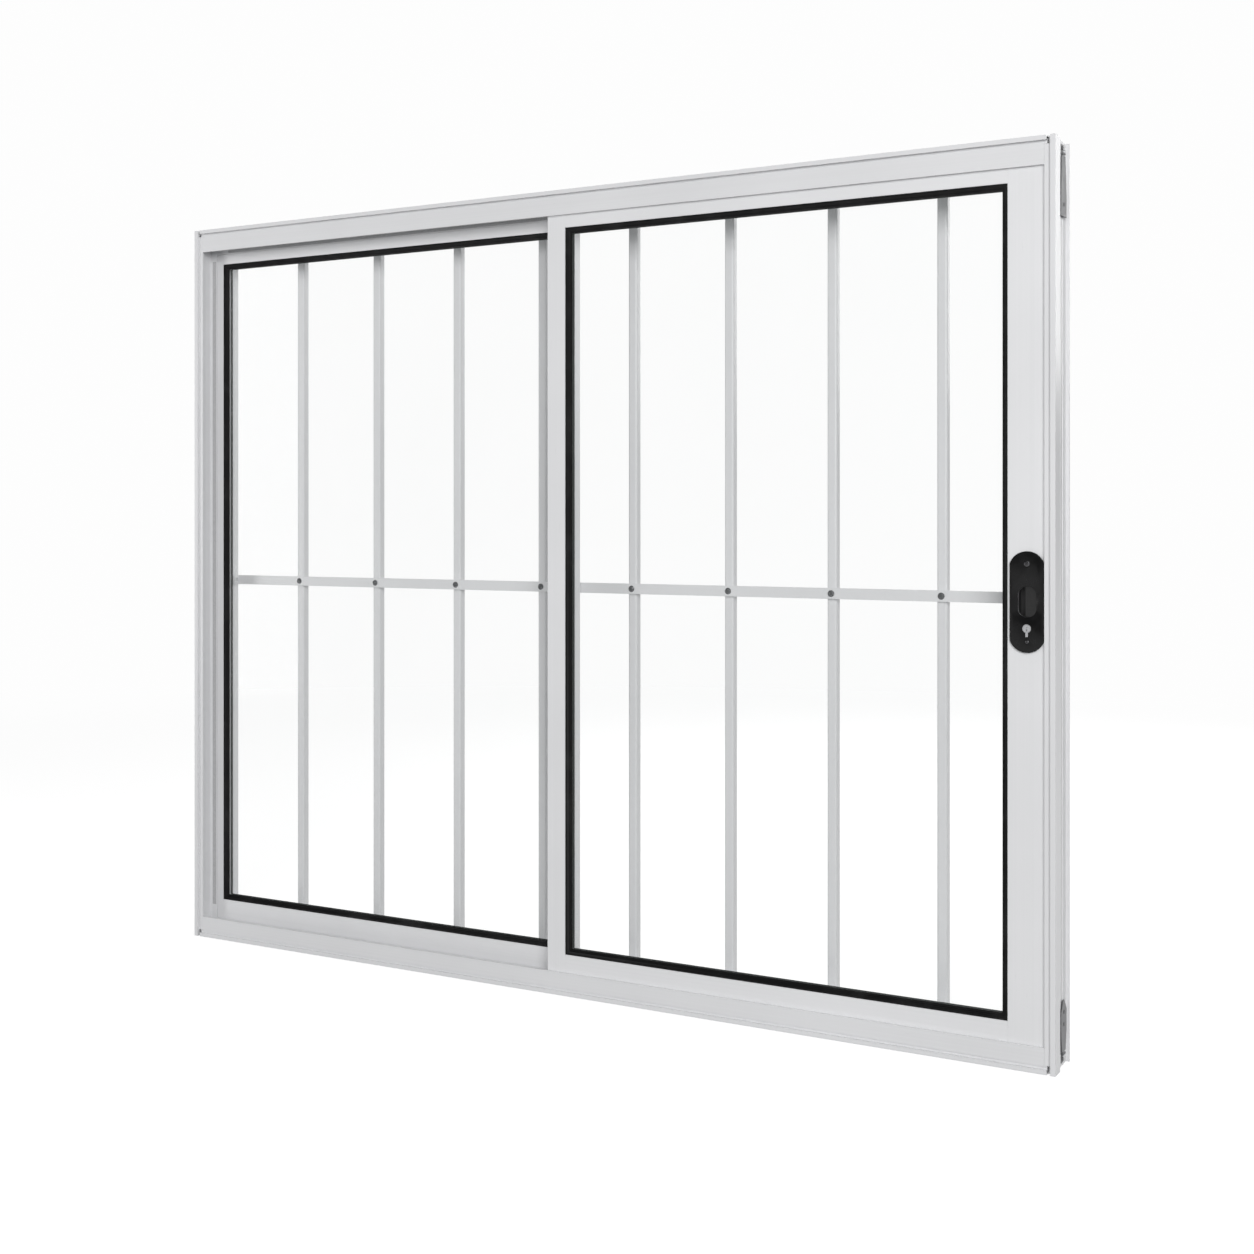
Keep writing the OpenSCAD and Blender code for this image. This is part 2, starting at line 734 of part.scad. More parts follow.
module right_bottom_rail() {
  color([0.87, 0.88, 0.89]) in_place() bottom_rail(right_open, right_v);
}

module right_glass() {
  color([0.85, 0.9, 0.9, 0.3]) in_place() pane(right_open, right_v);
}

module right_gasket() {
  color([0.05, 0.05, 0.06]) in_place() gasket(right_open, right_v);
}

module right_leaf_screws() {
  color([0.6, 0.61, 0.63]) in_place() leaf_screws(right_open, right_v);
}

module right_top_guides() {
  color([0.2, 0.2, 0.21]) in_place() top_guides(right_open, right_v);
}

module right_roller_carriages() {
  color([0.2, 0.2, 0.21]) in_place() roller_carriages(right_open, right_v);
}

module right_roller_axles() {
  color([0.6, 0.61, 0.63]) in_place() roller_axles(right_open, right_v);
}

module right_wheel_a() {
  color([0.9, 0.9, 0.88]) in_place() wheel(wheel_x(right_open)[0], right_v);
}

module right_wheel_b() {
  color([0.9, 0.9, 0.88]) in_place() wheel(wheel_x(right_open)[1], right_v);
}

// Left leaf: it runs in the rear track

module left_side_stile() {
  color([0.85, 0.86, 0.87]) in_place() left_hand(left_open[0], left_v) stile(side_stile_w);
}

module left_meeting_stile() {
  color([0.85, 0.86, 0.87]) in_place() {
    right_hand(left_open[1], left_v) stile(meeting_stile_w);
    slab([hook_x_left + hook_span - hook_wall, hook_x_left + hook_span],
      [right_v + leaf_t + hook_clear, left_v], hook_rows);
    slab([hook_x_left, hook_x_left + hook_span],
      [right_v + leaf_t + hook_clear, right_v + leaf_t + hook_clear + hook_foot_t], hook_rows);
  }
}

module left_top_rail() {
  color([0.85, 0.86, 0.87]) in_place() top_rail(left_open, left_v);
}

module left_bottom_rail() {
  color([0.85, 0.86, 0.87]) in_place() bottom_rail(left_open, left_v);
}

module left_glass() {
  color([0.85, 0.9, 0.9, 0.3]) in_place() pane(left_open, left_v);
}

module left_gasket() {
  color([0.05, 0.05, 0.06]) in_place() gasket(left_open, left_v);
}

module left_leaf_screws() {
  color([0.6, 0.61, 0.63]) in_place() leaf_screws(left_open, left_v);
}

module left_top_guides() {
  color([0.2, 0.2, 0.21]) in_place() top_guides(left_open, left_v);
}

module left_roller_carriages() {
  color([0.2, 0.2, 0.21]) in_place() roller_carriages(left_open, left_v);
}

module left_roller_axles() {
  color([0.6, 0.61, 0.63]) in_place() roller_axles(left_open, left_v);
}

module left_wheel_a() {
  color([0.9, 0.9, 0.88]) in_place() wheel(wheel_x(left_open)[0], left_v);
}

module left_wheel_b() {
  color([0.9, 0.9, 0.88]) in_place() wheel(wheel_x(left_open)[1], left_v);
}

// ---- Lock --------------------------------------------------------------

module pocket_outline(extra) {
  w = pocket_w + 2 * extra;
  h = pocket_h + 2 * extra;
  square([w, h - w], center = true);
  for (side = [-1, 1]) translate([0, side * (h - w) / 2]) circle(r = w / 2);
}

module plate_outline() {
  intersection() {
    square([lock_plate_w, lock_plate_h], center = true);
    union() {
      square([2 * plate_end_r, lock_plate_h - 2 * plate_end_r], center = true);
      for (side = [-1, 1]) translate([0, side * (lock_plate_h / 2 - plate_end_r)]) circle(r = plate_end_r);
    }
  }
}

upper_head_r = 3.35;
lower_head_r = 2.25;
plate_head_t = 1.4;
plate_head_stand = 0.3;
plate_head_v = plate_front - plate_head_stand;
screw_rows = [[upper_screw_z, upper_head_r], [lower_screw_z, lower_head_r]];

module lock_plate() {
  color([0.04, 0.04, 0.045]) in_place() difference() {
    translate([plate_x, right_v, lock_z]) rotate([90, 0, 0]) linear_extrude(right_v - plate_front)
      plate_outline();
    translate([plate_x, right_v + cut_over, lock_z]) rotate([90, 0, 0])
      linear_extrude(right_v - plate_front + 2 * cut_over) pocket_outline(0);
    pin_v(plate_x, cylinder_z, [plate_front - cut_over, right_v + cut_over], cylinder_r + run_fit);
    for (row = screw_rows) {
      pin_v(plate_x, row[0], [plate_front - cut_over, right_v + cut_over], plate_screw_r + slip_gap);
      pin_v(plate_x, row[0], [plate_front - cut_over, plate_head_v + plate_head_t], row[1] + slip_gap);
    }
  }
}

cam_v = [14, 16];
cam_space_r = 8.6;
cam_reach = 7.5;
cylinder_v = [3.6, 14];
case_wall = 1.2;
pull_room = 1.5;
hollow_half = 15;
hollow_right = 7.5;
hollow_back = 2;
hub_gap = 0.6;
hub_room = 6.6;

module lock_case() {
  color([0.12, 0.12, 0.13]) in_place() {
    difference() {
      slab(case_x, case_v, case_z);
      translate([plate_x, case_v[0] - cut_over, lock_z]) rotate([90, 0, 0]) mirror([0, 0, 1])
        linear_extrude(slider_v[0] - case_v[0] + cut_over) pocket_outline(0);
      slab([case_x[0] + case_wall, slider_x[1] + pull_room],
        [slider_v[0] - travel_gap, slider_v[1] + travel_gap],
        [slider_z[0] - travel_gap, slider_z[1] + travel_gap]);
      slab([case_x[0] + case_wall, plate_x + hollow_right], [slider_v[1], case_v[1] - hollow_back],
        [lock_z - hollow_half, lock_z + hollow_half]);
      slab([pivot[0] - hook_hub_r - hub_gap, case_x[1] + cut_over], hook_slot_v,
        [hook_slot_z[0] - hook_side_gap, pivot[1] + hub_room]);
      pin_v(plate_x, cylinder_z, [case_v[0] - cut_over, cam_v[0]], cylinder_r + run_fit);
      pin_v(plate_x, cylinder_z, [cam_v[0] - travel_gap, cam_v[1] + travel_gap], cam_space_r);
      for (z = [upper_screw_z, lower_screw_z])
        pin_v(plate_x, z, [case_v[0] - cut_over, screw_end_v + slip_gap], plate_screw_r + press_gap);
    }
    pin_v(pivot[0], pivot[1], [hook_slot_v[0] - slip_gap, hook_slot_v[1] + slip_gap], pivot_pin_r);
  }
}

ridge_rows = [-2 : 2];
ridge_pitch = 5;
ridge_half = 0.6;
ridge_margin = 2;
ridge_depth = 0.5;

module pull_slider() {
  color([0.06, 0.06, 0.065]) in_place() difference() {
    slab(slider_x, slider_v, slider_z);
    for (row = ridge_rows)
      slab([slider_x[0] + ridge_margin, slider_x[1] - ridge_margin],
        [slider_v[0] - cut_over, slider_v[0] + ridge_depth],
        [lock_z + row * ridge_pitch - ridge_half, lock_z + row * ridge_pitch + ridge_half]);
  }
}

// The hook is drawn turned down, as it lies inside the stile when it is drawn back
module hook_bolt() {
  color([0.55, 0.56, 0.58]) in_place()
    translate([pivot[0], hook_v[1], pivot[1]]) rotate([90, 0, 0]) linear_extrude(hook_v[1] - hook_v[0])
      difference() {
        union() {
          circle(r = hook_hub_r);
          patch([-hook_arm_half, hook_arm_half], [-hook_reach, 0]);
          patch([-hook_arm_half, hook_nose], [-hook_reach, -hook_nose_x]);
        }
        circle(r = pivot_pin_r + run_fit);
      }
}

keyhole_r = 0.9;
keyhole_rise = 0.8;
keyhole_half = 0.4;
keyhole_drop = 2.6;
keyhole_depth = 3;

module key_cylinder() {
  color([0.68, 0.69, 0.7]) in_place() difference() {
    pin_v(plate_x, cylinder_z, cylinder_v, cylinder_r);
    pin_v(plate_x, cylinder_z + keyhole_rise,
      [cylinder_v[0] - cut_over, cylinder_v[0] + keyhole_depth], keyhole_r);
    slab([plate_x - keyhole_half, plate_x + keyhole_half],
      [cylinder_v[0] - cut_over, cylinder_v[0] + keyhole_depth],
      [cylinder_z - keyhole_drop, cylinder_z + keyhole_rise]);
  }
}

cam_half = 2;
cam_hub_step = 0.5;

module key_cam() {
  color([0.6, 0.61, 0.63]) in_place() {
    pin_v(plate_x, cylinder_z, cam_v, cylinder_r - cam_hub_step);
    slab([plate_x - cam_half, plate_x + cam_half], cam_v, [cylinder_z - cam_reach, cylinder_z]);
  }
}

trim_r = 4.5;
trim_t = 0.4;
trim_stem_half = 1.3;
trim_stem_len = 9;

// The bright ring round the key barrel, with the short stem that runs down from it
module key_trim() {
  color([0.7, 0.71, 0.72]) in_place() difference() {
    union() {
      pin_v(plate_x, cylinder_z, [plate_front - trim_t, plate_front], trim_r);
      slab([plate_x - trim_stem_half, plate_x + trim_stem_half], [plate_front - trim_t, plate_front],
        [cylinder_z - trim_stem_len, cylinder_z]);
    }
    pin_v(plate_x, cylinder_z, [plate_front - cut_over, plate_front + cut_over], cylinder_r + run_fit);
  }
}

module plate_screws() {
  color([0.07, 0.07, 0.08]) in_place()
    for (row = screw_rows) {
      pin_v(plate_x, row[0], [plate_head_v, plate_head_v + plate_head_t], row[1]);
      pin_v(plate_x, row[0], [plate_head_v, screw_end_v], plate_screw_r);
    }
}

// ---- Wall anchors ------------------------------------------------------

foot_half = 4.6;
foot_seat_u = 2.8;
foot_rivet_r = 1.2;
foot_rivet_head_r = 2.1;
foot_rivet_z = 8;
foot_rivet_head_t = 1;
foot_from = 4;
ear_from = 11;
ear_over = 1;
ear_shift = 0.6;
knuckle_w = 2;
neck_half = foot_half - knuckle_w - travel_gap;
neck_len = 2.6;

// One strap of the left jamb, drawn from its pin upwards with its tip at the top
module strap(strap_len, pointed) {
  tip = pointed ? strap_end_w / 2 : 0;
  shoulder = pin_end + strap_len - tip;
  translate([pin_u - strap_t / 2 - half_w, anchor_v, 0]) difference() {
    union() {
      rotate([90, 0, 90]) linear_extrude(strap_t)
        polygon([[-neck_half, pin_end], [neck_half, pin_end], [neck_half, pin_end + neck_len],
          [strap_root_w / 2, pin_end + neck_len], [strap_end_w / 2, shoulder - strap_end_w],
          [strap_end_w / 2, shoulder], [strap_corner_half, pin_end + strap_len],
          [-strap_corner_half, pin_end + strap_len],
          [-strap_end_w / 2, shoulder], [-strap_end_w / 2, shoulder - strap_end_w],
          [-strap_root_w / 2, pin_end + neck_len], [-neck_half, pin_end + neck_len]]);
      pin_v(strap_t / 2, pin_end, [-neck_half, neck_half], knuckle_r);
    }
    pin_v(strap_t / 2, pin_end, [-neck_half - cut_over, neck_half + cut_over], pin_r + run_fit);
    for (drop = pointed ? [strap_hole_drop, 2 * strap_hole_drop] : [strap_hole_drop])
      pin_x([-cut_over, strap_t + cut_over], 0, pin_end + strap_len - drop, strap_hole_r);
  }
}

module hung_from_top() {
  translate([0, 0, window_h]) mirror([0, 0, 1]) children();
}

module strap_upper_right() {
  color([0.5, 0.51, 0.52]) in_place() on_right() hung_from_top() strap(upper_strap_len, false);
}

module strap_lower_right() {
  color([0.5, 0.51, 0.52]) in_place() on_right() strap(lower_strap_len, true);
}

module strap_upper_left() {
  color([0.5, 0.51, 0.52]) in_place() hung_from_top() strap(upper_strap_len, false);
}

module strap_lower_left() {
  color([0.5, 0.51, 0.52]) in_place() strap(lower_strap_len, true);
}

module anchor_foot() {
  difference() {
    union() {
      slab([foot_seat_u - half_w, outer_recess - half_w], [anchor_v - foot_half, anchor_v + foot_half],
        [foot_from, pin_end - knuckle_r - travel_gap]);
      for (v = [anchor_v - foot_half, anchor_v + foot_half - knuckle_w]) {
        slab([pin_u + ear_shift - half_w, outer_recess - half_w], [v, v + knuckle_w],
          [ear_from, pin_end + ear_over]);
        pin_v(pin_u - half_w, pin_end, [v, v + knuckle_w], knuckle_r);
      }
      pin_v(pin_u - half_w, pin_end, [anchor_v - foot_half, anchor_v + foot_half], pin_r);
    }
    pin_x([-half_w, outer_recess + cut_over - half_w], anchor_v, foot_rivet_z, foot_rivet_r + press_gap);
  }
  rivet_u = foot_seat_u - foot_rivet_head_t;
  pin_x([rivet_u - half_w, foot_seat_u - half_w], anchor_v, foot_rivet_z, foot_rivet_head_r);
  pin_x([rivet_u - half_w, outer_recess + wall + foot_rivet_head_t - half_w], anchor_v, foot_rivet_z,
    foot_rivet_r);
}

module anchor_feet() {
  color([0.5, 0.51, 0.52]) in_place() both_sides() {
    anchor_foot();
    hung_from_top() anchor_foot();
  }
}

left_jamb();
right_jamb();
head_rail();
sill_rail();
corner_screws();
brush_strips();
keeper_plate();
keeper_screws();
grille_bar_1();
grille_bar_2();
grille_bar_3();
grille_bar_4();
grille_bar_5();
grille_bar_6();
grille_bar_7();
grille_bar_8();
cross_bar();
cross_bar_rivets();
tab_rivets();
bar_end_screws();
bar_end_caps();
right_meeting_stile();
right_lock_stile();
right_top_rail();
right_bottom_rail();
right_glass();
right_gasket();
right_leaf_screws();
right_top_guides();
right_roller_carriages();
right_roller_axles();
right_wheel_a();
right_wheel_b();
left_side_stile();
left_meeting_stile();
left_top_rail();
left_bottom_rail();
left_glass();
left_gasket();
left_leaf_screws();
left_top_guides();
left_roller_carriages();
left_roller_axles();
left_wheel_a();
left_wheel_b();
lock_plate();
lock_case();
pull_slider();
hook_bolt();
key_cylinder();
key_cam();
key_trim();
plate_screws();
strap_upper_right();
strap_lower_right();
strap_upper_left();
strap_lower_left();
anchor_feet();
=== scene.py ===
import math

import bpy
from mathutils import Matrix, Vector


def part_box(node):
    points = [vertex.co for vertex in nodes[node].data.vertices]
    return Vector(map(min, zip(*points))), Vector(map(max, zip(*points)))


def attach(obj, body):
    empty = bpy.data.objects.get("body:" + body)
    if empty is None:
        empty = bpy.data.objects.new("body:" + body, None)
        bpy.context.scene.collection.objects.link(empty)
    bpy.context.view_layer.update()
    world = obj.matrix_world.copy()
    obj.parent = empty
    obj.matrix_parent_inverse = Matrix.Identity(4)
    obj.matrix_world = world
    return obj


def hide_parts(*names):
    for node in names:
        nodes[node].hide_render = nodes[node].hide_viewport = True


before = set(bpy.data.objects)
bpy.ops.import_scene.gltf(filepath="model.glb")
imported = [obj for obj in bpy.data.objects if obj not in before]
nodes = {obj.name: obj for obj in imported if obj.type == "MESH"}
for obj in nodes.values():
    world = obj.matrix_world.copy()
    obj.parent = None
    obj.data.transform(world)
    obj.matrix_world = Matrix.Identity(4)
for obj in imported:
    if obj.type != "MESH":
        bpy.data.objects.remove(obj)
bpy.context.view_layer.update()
MM = 0.001

# ---------------------------------------------------------------------------
# Outer frame: two jambs, a head and a sill, pressed out of aluminium as hollow
# lengths, cut square, notched at the corners, and stoved with a satin white
# powder coat, which leaves a very fine orange peel.


class Tone:
    """One output of a shader node. A sum written with tones adds its Math nodes."""

    def __init__(self, coat, socket):
        self.coat = coat
        self.socket = socket

    def math(self, operation, other):
        return self.coat.add("ShaderNodeMath", {"operation": operation}, {0: self, 1: other})

    def __add__(self, other):
        return self.math("ADD", other)

    def __mul__(self, other):
        return self.math("MULTIPLY", other)

    def between(self, low, high):
        """0 below low, 1 above high, smooth in between."""
        return self.coat.add(
            "ShaderNodeMapRange", {"interpolation_type": "SMOOTHSTEP"},
            {"Value": self, "From Min": low, "From Max": high},
        )


class Coat:
    """A finish under way: a material whose nodes are added one by one."""

    def __init__(self, name):
        self.material = bpy.data.materials.new(name)
        self.material.use_nodes = True
        self.tree = self.material.node_tree
        self.shader = self.tree.nodes["Principled BSDF"]

    def add(self, kind, settings=None, inputs=None, output=0):
        node = self.tree.nodes.new(kind)
        for key, value in (settings or {}).items():
            setattr(node, key, value)
        for key, value in (inputs or {}).items():
            if isinstance(value, Tone):
                self.tree.links.new(value.socket, node.inputs[key])
            else:
                node.inputs[key].default_value = value
        return Tone(self, node.outputs[output])

    def place(self, stretch=(1, 1, 1)):
        """Object coordinates, stretched."""
        point = self.add("ShaderNodeTexCoord", output="Object")
        return self.add("ShaderNodeMapping", None, {"Vector": point, "Scale": stretch})

    def noise(self, point, scale, detail=2.0, rough=0.5):
        return self.add(
            "ShaderNodeTexNoise", {"noise_dimensions": "3D"},
            {"Vector": point, "Scale": scale, "Detail": detail, "Roughness": rough},
        )

    def cells(self, point, scale):
        return self.add(
            "ShaderNodeTexVoronoi", {"feature": "F1"}, {"Vector": point, "Scale": scale}, "Color")

    def blend(self, share, first, second):
        """A colour between two others."""
        def full(colour):
            return colour if isinstance(colour, Tone) else (*colour, 1)

        return self.add(
            "ShaderNodeMix", {"data_type": "RGBA"},
            {"Factor": share, 6: full(first), 7: full(second)}, 2)

    def relief(self, height, strength, distance, edge=None):
        """A bump, on softened edges where edge gives their radius."""
        inputs = {"Height": height, "Strength": strength, "Distance": distance}
        if edge:
            inputs["Normal"] = self.add("ShaderNodeBevel", {"samples": 4}, {"Radius": edge})
        return self.add("ShaderNodeBump", None, inputs)

    def finish(self, **sockets):
        """Sets or links the shader's sockets, named with _ for a space, and gives the material."""
        for key, value in sockets.items():
            socket = self.shader.inputs[key.replace("_", " ")]
            if isinstance(value, Tone):
                self.tree.links.new(value.socket, socket)
            elif socket.type == "RGBA":
                socket.default_value = (*value, 1)
            else:
                socket.default_value = value
        return self.material


def dress(material, *names):
    """Gives the CAD pieces of those names a material."""
    for name in names:
        mesh = nodes[name].data
        mesh.materials.clear()
        mesh.materials.append(material)


def powder_coat(name, tint, along):
    """Satin white powder coat on a length whose press lines run along X (0) or Z (2)."""
    coat = Coat(name)
    point = coat.place()
    lines = [420.0, 420.0, 420.0]
    lines[along] = 0.9
    press_lines = coat.noise(coat.place(stretch=lines), 1.0, 1.0)
    haze = coat.noise(point, 4.5, 3.0)
    peel = coat.noise(point, 1150.0, 1.0)
    mark_lengths = [60.0, 60.0, 60.0]
    mark_lengths[along] = 9.0
    marks = coat.noise(coat.place(stretch=mark_lengths), 3.0, 5.0, 0.65)
    scuff = marks.between(0.66, 0.74)
    shade = tuple(c * 0.945 for c in tint)
    colour = coat.blend((haze * 0.7 + press_lines * 0.3).between(0.3, 0.72), shade, tint)
    colour = coat.blend(scuff * 0.3, colour, tuple(c * 0.8 for c in tint))
    return coat.finish(
        Base_Color=colour,
        Roughness=haze * 0.1 + scuff * 0.16 + peel * 0.05 + 0.26,
        Normal=coat.relief(peel * 0.7 + press_lines * 0.5, 0.22, 0.00012, edge=0.00045),
        Coat_Weight=0.12,
        Coat_Roughness=0.3,
        IOR=1.5,
    )


FRAME_TINT = (0.79, 0.793, 0.805)
upright_white = powder_coat("frame_white_upright", FRAME_TINT, 2)
level_white = powder_coat("frame_white_level", FRAME_TINT, 0)
dress(upright_white, "left_jamb", "right_jamb")
dress(level_white, "head_rail", "sill_rail")

# ---------------------------------------------------------------------------
# Corner screws: zinc-plated pan-head screws with a cross recess. Eight of them
# go through the jambs' outer channel into the round ports of head and sill.


def clear_selection():
    if bpy.context.object and bpy.context.object.mode != "OBJECT":
        bpy.ops.object.mode_set(mode="OBJECT")
    bpy.ops.object.select_all(action="DESELECT")


def turned_piece(name, rings, sides=32):
    """A round piece drawn up from a disc, each ring (radius, height) in mm, from the foot up."""
    clear_selection()
    bpy.ops.mesh.primitive_circle_add(
        vertices=sides, radius=rings[0][0] * MM, fill_type="NGON",
        location=(0, 0, rings[0][1] * MM))
    piece = bpy.context.object
    bpy.ops.object.transform_apply(location=True)
    piece.name = name
    bpy.ops.object.mode_set(mode="EDIT")
    bpy.ops.mesh.select_all(action="SELECT")
    for (radius, height), (next_radius, next_height) in zip(rings, rings[1:]):
        bpy.ops.mesh.extrude_region_move(
            TRANSFORM_OT_translate={"value": (0, 0, (next_height - height) * MM)})
        share = next_radius / radius
        bpy.ops.transform.resize(value=(share, share, 1), center_override=(0, 0, next_height * MM))
    bpy.ops.mesh.select_all(action="DESELECT")
    bpy.ops.mesh.select_non_manifold()
    bpy.ops.mesh.edge_face_add()
    bpy.ops.mesh.select_all(action="SELECT")
    bpy.ops.mesh.normals_make_consistent(inside=False)
    bpy.ops.object.mode_set(mode="OBJECT")
    bpy.ops.object.shade_smooth_by_angle(angle=math.radians(38))
    return piece


def cut_away(piece, cutter):
    """Takes the cutter's shape out of the piece, and the cutter goes."""
    clear_selection()
    bpy.context.view_layer.objects.active = piece
    piece.select_set(True)
    cut = piece.modifiers.new("cut", "BOOLEAN")
    cut.operation = "DIFFERENCE"
    cut.solver = "EXACT"
    cut.object = cutter
    bpy.ops.object.modifier_apply(modifier="cut")
    bpy.data.objects.remove(cutter)
    return piece


def box_piece(name, low, high):
    """A block between two corners in mm."""
    clear_selection()
    centre = [(a + b) / 2 * MM for a, b in zip(low, high)]
    bpy.ops.mesh.primitive_cube_add(size=1, location=centre)
    block = bpy.context.object
    block.name = name
    block.scale = [(b - a) * MM for a, b in zip(low, high)]
    bpy.ops.object.transform_apply(location=True, scale=True)
    return block


def joined(name, pieces):
    """Several pieces made one, with its own name."""
    clear_selection()
    for piece in pieces:
        piece.select_set(True)
    bpy.context.view_layer.objects.active = pieces[0]
    bpy.ops.object.join()
    pieces[0].name = name
    pieces[0].data.name = name
    return pieces[0]


def cross_recess(screw, top, reach, depth):
    """Sinks a cross recess into a screw's head."""
    wing = reach * 0.22
    arms = [
        box_piece("arm", (-reach, -wing, top - depth), (reach, wing, top + 1)),
        box_piece("arm", (-wing, -reach, top - depth), (wing, reach, top + 1)),
    ]
    for arm in arms:
        cut_away(screw, arm)
    return screw


def set_copies(name, master, places):
    """Copies of a piece that points up, each at (place in m, direction, turn in degrees)."""
    copies = []
    for place, direction, turn in places:
        copy = master.copy()
        copy.data = master.data.copy()
        bpy.context.scene.collection.objects.link(copy)
        facing = Vector(direction).to_track_quat("Z", "Y").to_matrix().to_4x4()
        copy.data.transform(
            Matrix.Translation(place) @ facing @ Matrix.Rotation(math.radians(turn), 4, "Z"))
        copies.append(copy)
    bpy.data.objects.remove(master)
    return joined(name, copies)


def plated_steel(name, tint, rough, line_scale=2600.0):
    """Plated or brushed steel: fine lines, dull spots and a slight tint."""
    coat = Coat(name)
    lines = coat.noise(coat.place(stretch=(1, 1, 0.04)), line_scale, 2.0)
    spots = coat.noise(coat.place(), 160.0, 4.0, 0.6)
    dull = spots.between(0.5, 0.72)
    colour = coat.blend(dull * 0.55, tint, tuple(c * 0.66 for c in tint))
    return coat.finish(
        Base_Color=colour,
        Metallic=1.0,
        Roughness=dull * 0.2 + lines * 0.12 + rough,
        Normal=coat.relief(lines + spots * 0.4, 0.25, 0.00005),
    )


screw_steel = plated_steel("screw_steel", (0.62, 0.625, 0.64), 0.24)


def pan_screw(name, head_r, head_h, shank_r, shank_len):
    """A pan-head screw standing on its head's underside, its shank below the origin."""
    point_len = 1.5
    screw = turned_piece(name, [
        (shank_r * 0.5, -shank_len), (shank_r, -shank_len + point_len), (shank_r, 0),
        (head_r * 0.96, 0), (head_r, head_h * 0.15), (head_r, head_h * 0.42),
        (head_r * 0.93, head_h * 0.72), (head_r * 0.76, head_h * 0.93), (head_r * 0.5, head_h)])
    return cross_recess(screw, head_h, head_r * 0.58, head_h * 0.62)


def from_box(node):
    """The low and high corner of a CAD piece's box, in mm."""
    low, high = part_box(node)
    return [c / MM for c in low], [c / MM for c in high]


corner_head_r = 2.2
corner_head_h = 1.4
corner_low, corner_high = from_box("corner_screws")
head_under = corner_high[0] - corner_head_h
front_row = corner_low[1] + corner_head_r
rear_row = corner_high[1] - corner_head_r
low_port = corner_low[2] + corner_head_r
high_port = corner_high[2] - corner_head_r
corner_places = []
for side in (-1, 1):
    for row in (front_row, rear_row):
        for height in (low_port, high_port):
            spot = Vector((side * head_under, row, height)) * MM
            driven_turn = 17 + 31 * len(corner_places)
            corner_places.append((spot, (side, 0, 0), driven_turn))
corner_master = pan_screw("screw", corner_head_r, corner_head_h, shank_r=1.6, shank_len=24)
corner_screws = set_copies("corner_screw_heads", corner_master, corner_places)
corner_screws.data.materials.append(screw_steel)
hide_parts("corner_screws")
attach(corner_screws, "outer_frame")

# ---------------------------------------------------------------------------
# Weather strips: pale grey woven pile on a backing tape, slid onto the middle rib of
# the jambs and head, where it brushes both leaves.

pile = Coat("brush_pile")
tufts = pile.noise(pile.place(stretch=(1, 1, 0.35)), 2400.0, 3.0, 0.7)
dust = pile.noise(pile.place(), 40.0, 3.0)
dress(pile.finish(
    Base_Color=pile.blend(tufts.between(0.3, 0.7), (0.42, 0.42, 0.43), (0.62, 0.62, 0.63)),
    Roughness=dust * 0.1 + 0.85,
    Normal=pile.relief(tufts, 0.9, 0.0004),
), "brush_strips")

# ---------------------------------------------------------------------------
# Keeper: a stamped steel plate that the hook grips behind, laid on the right
# jamb's channel floor and held by two countersunk screws.

dress(plated_steel("keeper_steel", (0.6, 0.605, 0.61), 0.3, 1800.0), "keeper_plate")
dress(screw_steel, "keeper_screws")

# ---------------------------------------------------------------------------
# Security grille: eight square aluminium tubes with rounded corners and one flat
# cross bar with its ends turned forward, in a white coat darker than the frame's: painted shade.

# The grille's tint is darker than the frame's white: painted shade on the bars.
GRILLE_TINT = (0.74, 0.743, 0.755)
BARS = ["grille_bar_%d" % number for number in range(1, 9)]
dress(powder_coat("grille_white_upright", GRILLE_TINT, 2), *BARS)
dress(powder_coat("grille_white_level", GRILLE_TINT, 0), "cross_bar")

# ---------------------------------------------------------------------------
# Grille rivets: blind rivets with a low dome and the stub of their pin sunk in
# the middle, one through the cross bar at each tube and one at each end tab.

rivet_coat = Coat("rivet_dark")
rivet_wear = rivet_coat.noise(rivet_coat.place(), 520.0, 4.0, 0.65)
bare = rivet_wear.between(0.56, 0.68)
rivet_dark = rivet_coat.finish(
    Base_Color=rivet_coat.blend(bare, (0.05, 0.05, 0.055), (0.3, 0.3, 0.31)),
    Metallic=bare * 0.5 + 0.5,
    Roughness=bare * -0.12 + rivet_wear * 0.1 + 0.36,
    Normal=rivet_coat.relief(rivet_wear, 0.3, 0.0001),
)


def blind_rivet(name, head_r, head_h, shank_r, grip, tail_r, tail_h):
    """A set blind rivet, its head's underside at the origin and its tail below."""
    return turned_piece(name, [
        (tail_r * 0.55, -grip - tail_h), (tail_r, -grip - tail_h * 0.7), (tail_r, -grip),
        (shank_r, -grip), (shank_r, 0),
        (head_r * 0.97, 0), (head_r, head_h * 0.12), (head_r * 0.97, head_h * 0.34),
        (head_r * 0.86, head_h * 0.62), (head_r * 0.68, head_h * 0.84), (head_r * 0.46, head_h),
        (head_r * 0.38, head_h), (head_r * 0.34, head_h * 0.5), (head_r * 0.22, head_h * 0.5),
        (head_r * 0.18, head_h * 0.78)], sides=40)


cross_low, cross_high = from_box("cross_bar")
cross_middle = (cross_low[2] + cross_high[2]) / 2
bar_middles = [sum(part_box(bar)[end].x for end in (0, 1)) / 2 / MM for bar in BARS]
cross_head_h = 1.8
cross_head_under = from_box("cross_bar_rivets")[0][1] + cross_head_h
cross_master = blind_rivet(
    "rivet", head_r=4.0, head_h=cross_head_h, shank_r=1.6, grip=4.2, tail_r=2.4, tail_h=1.8)
cross_rivets = set_copies(
    "cross_bar_blind_rivets", cross_master,
    [(Vector((x, cross_head_under, cross_middle)) * MM, (0, -1, 0), 40 * index)
     for index, x in enumerate(bar_middles)])
cross_rivets.data.materials.append(rivet_dark)
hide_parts("cross_bar_rivets")
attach(cross_rivets, "outer_frame")

